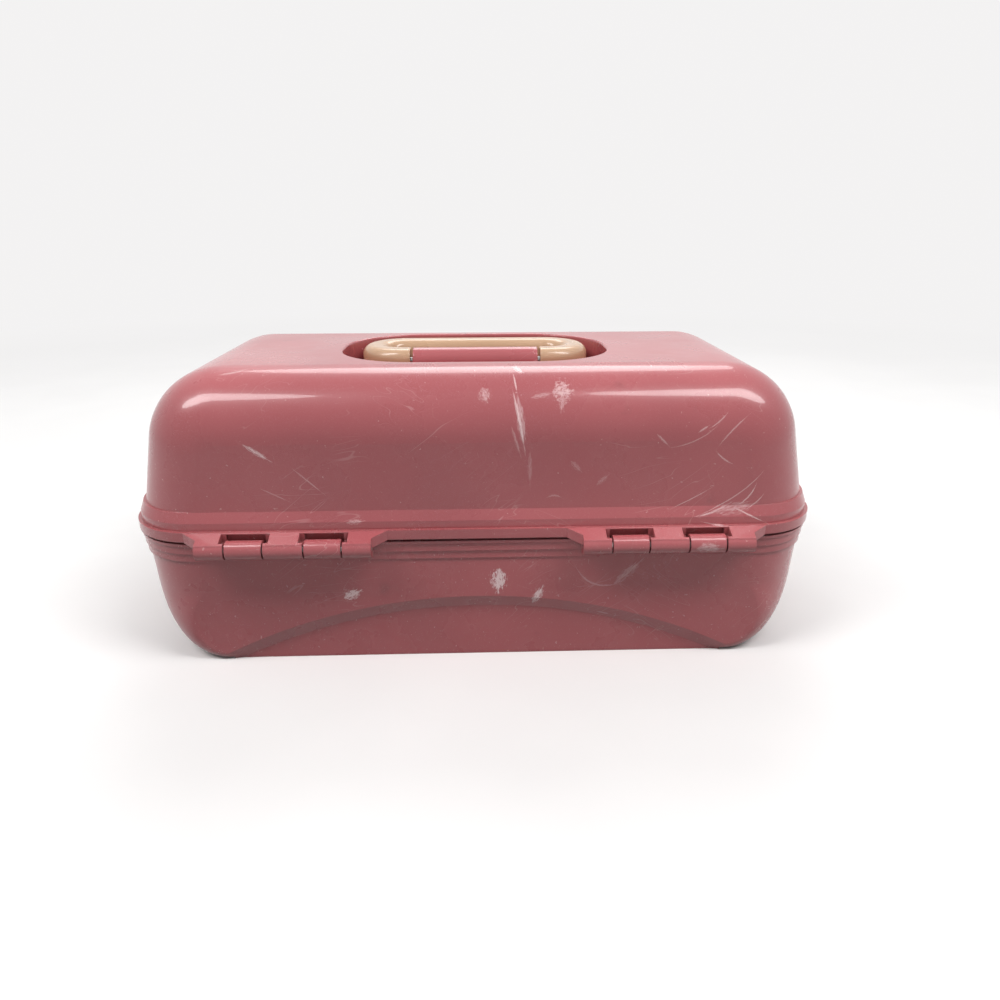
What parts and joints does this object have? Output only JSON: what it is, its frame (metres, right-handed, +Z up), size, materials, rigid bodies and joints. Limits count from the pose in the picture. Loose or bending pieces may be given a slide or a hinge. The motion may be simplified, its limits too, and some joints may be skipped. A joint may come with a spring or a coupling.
{
  "type": "makeup storage case",
  "caption": "Moulded clamshell makeup case with a domed lid, fold-down handle, latches, inner mirror and swing-up trays on arms.",
  "frame": {"origin": "under the middle of the case, on the surface it stands on", "axes": "+X along the hinge to the right end seen from the hinge side, +Y from the hinge side to the latch side, +Z up"},
  "size_m": [0.372, 0.2044, 0.157],
  "materials": {
    "base_shell": "glossy moulded",
    "lid_shell": "glossy moulded",
    "handle_loop": "satin moulded",
    "latch": "glossy moulded",
    "mirror_frame": "satin moulded",
    "mirror_glass": "silvered",
    "upper_tray": "satin moulded",
    "lower_tray": "satin moulded",
    "arm": "brushed",
    "pin": "turned"
  },
  "bodies": {
    "base": {"base_shell": "base_shell", "hinge_pin_left": "pin", "hinge_pin_right": "pin", "long_arm_foot_pins": "pin", "short_arm_foot_pins": "pin"},
    "lid": {"lid_shell": "lid_shell", "mirror_frame": "mirror_frame", "mirror_glass": "mirror_glass", "mirror_screws": "pin", "tray_hanger_pins": "pin", "latch_pin_left": "pin", "latch_pin_right": "pin", "handle_pin": "pin"},
    "handle": {"handle_loop": "handle_loop"},
    "latch_left": {"latch_left": "latch"},
    "latch_right": {"latch_right": "latch"},
    "upper_tray": {"upper_tray": "upper_tray", "upper_dividers": "upper_tray"},
    "long_arms": {"long_arm_left": "arm", "long_arm_right": "arm", "long_arm_tip_pins": "pin", "long_arm_middle_pins": "pin"},
    "lower_tray": {"lower_tray": "lower_tray", "lower_dividers": "lower_tray"},
    "short_arms": {"short_arm_left": "arm", "short_arm_right": "arm", "short_arm_tip_pins": "pin"}
  },
  "joints": [
    {"name": "lid_hinge", "type": "hinge", "parent": "base", "child": "lid", "pos_m": [0, -0.0972, 0.0701], "axis": [1, 0, 0], "range_deg": [0, 100]},
    {"name": "handle_pivot", "type": "hinge", "parent": "lid", "child": "handle", "pos_m": [0, 0, 0.1488], "axis": [1, 0, 0], "range_deg": [0, 180]},
    {"name": "latch_left_pivot", "type": "hinge", "parent": "lid", "child": "latch_left", "pos_m": [-0.1, 0.0971, 0.0752], "axis": [1, 0, 0], "range_deg": [0, 100]},
    {"name": "latch_right_pivot", "type": "hinge", "parent": "lid", "child": "latch_right", "pos_m": [0.1, 0.0971, 0.0752], "axis": [1, 0, 0], "range_deg": [0, 100]},
    {"name": "upper_tray_pivot", "type": "hinge", "parent": "lid", "child": "upper_tray", "pos_m": [0, -0.03816, 0.0808], "axis": [1, 0, 0], "range_deg": [-100, 0]},
    {"name": "long_arm_foot", "type": "hinge", "parent": "base", "child": "long_arms", "pos_m": [0, -0.0422, 0.0601], "axis": [1, 0, 0], "range_deg": [0, 100]},
    {"name": "lower_tray_pivot", "type": "hinge", "parent": "long_arms", "child": "lower_tray", "pos_m": [0, -0.01268, 0.06545], "axis": [1, 0, 0], "range_deg": [-100, 0]},
    {"name": "short_arm_foot", "type": "hinge", "parent": "base", "child": "short_arms", "pos_m": [0, 0.0178, 0.0501], "axis": [1, 0, 0], "range_deg": [0, 100]}
  ],
  "couplings": [
    {"joint": "upper_tray_pivot", "follows": "lid_hinge", "ratio": -1},
    {"joint": "long_arm_foot", "follows": "lid_hinge", "ratio": 1},
    {"joint": "lower_tray_pivot", "follows": "lid_hinge", "ratio": -1},
    {"joint": "short_arm_foot", "follows": "lid_hinge", "ratio": 1}
  ]
}
